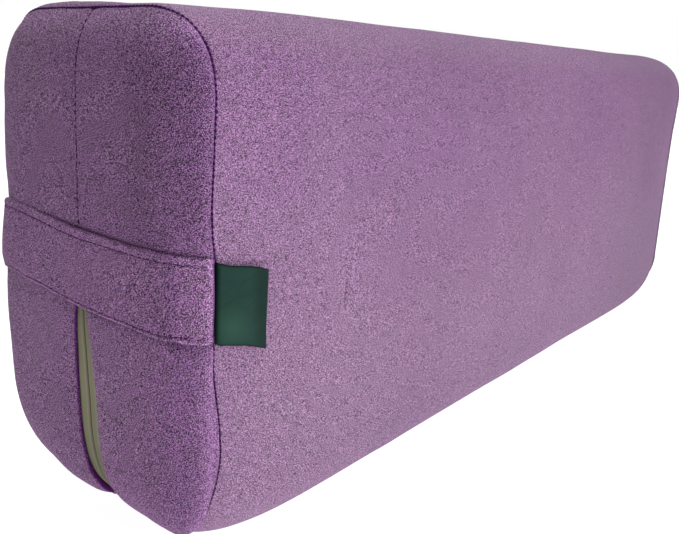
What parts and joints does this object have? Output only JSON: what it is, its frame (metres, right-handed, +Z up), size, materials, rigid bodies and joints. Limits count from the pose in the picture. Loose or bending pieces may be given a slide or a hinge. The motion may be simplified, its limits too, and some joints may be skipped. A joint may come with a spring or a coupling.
{
  "type": "rectangular yoga bolster",
  "caption": "Rectangular foam yoga bolster standing on its narrow side, with a zipped velour cover, domed ends, a carrying strap across one end and a small side label.",
  "frame": {"origin": "middle of the outline on the surface the bolster stands on (bottom centre of its box)", "axes": "+X along the length, away from the strap end; +Y across to the side opposite the label; +Z up"},
  "size_m": [0.6234, 0.1701, 0.25],
  "materials": {
    "velour": "soft short-pile lavender velour",
    "label_satin": "dark green woven satin",
    "zip_tape": "sage-grey woven tape",
    "zip_coil": "sage nylon coil",
    "zip_metal": "dull nickel",
    "foam": "open-cell foam",
    "wadding": "white fibre wadding",
    "lining": "plain cotton lining"
  },
  "bodies": {
    "root": {"foam_core": "foam", "wadding_wrap": "wadding", "wadding_end_strap_side": "wadding", "wadding_end_plain_side": "wadding", "crown_pad_strap_side": "wadding", "crown_pad_plain_side": "wadding", "inner_liner": "lining", "liner_end_strap_side": "lining", "liner_end_plain_side": "lining", "cover_body": "velour", "cover_end_left_half": "velour", "cover_end_right_half": "velour", "cover_end_plain": "velour", "strap_tail_left": "velour", "strap_tail_right": "velour", "zip_tape_left": "zip_tape", "zip_tape_right": "zip_tape", "zip_coil_left": "zip_coil", "zip_coil_right": "zip_coil", "zip_start_stop": "zip_metal", "zip_end_stop_left": "zip_metal", "zip_end_stop_right": "zip_metal"},
    "strap": {"strap_band": "velour"},
    "label": {"side_label": "label_satin"},
    "slider": {"zip_slider": "zip_metal"},
    "pull_tab": {"zip_pull_tab": "zip_metal"}
  },
  "joints": [
    {"name": "strap_lift", "type": "slide", "parent": "root", "child": "strap", "axis": [-1, 0, 0], "range_m": [0, 0.014]},
    {"name": "label_flap", "type": "hinge", "parent": "root", "child": "label", "pos_m": [-0.2897, -0.0809, 0.131], "axis": [0, 0, -1], "range_deg": [0, 120]},
    {"name": "zip_slide", "type": "slide", "parent": "root", "child": "slider", "axis": [-1, 0, 0], "range_m": [0, 0.455]},
    {"name": "tab_swing", "type": "hinge", "parent": "slider", "child": "pull_tab", "pos_m": [0.2362, 0, 0.0023], "axis": [0, -1, 0], "range_deg": [0, 165]}
  ]
}
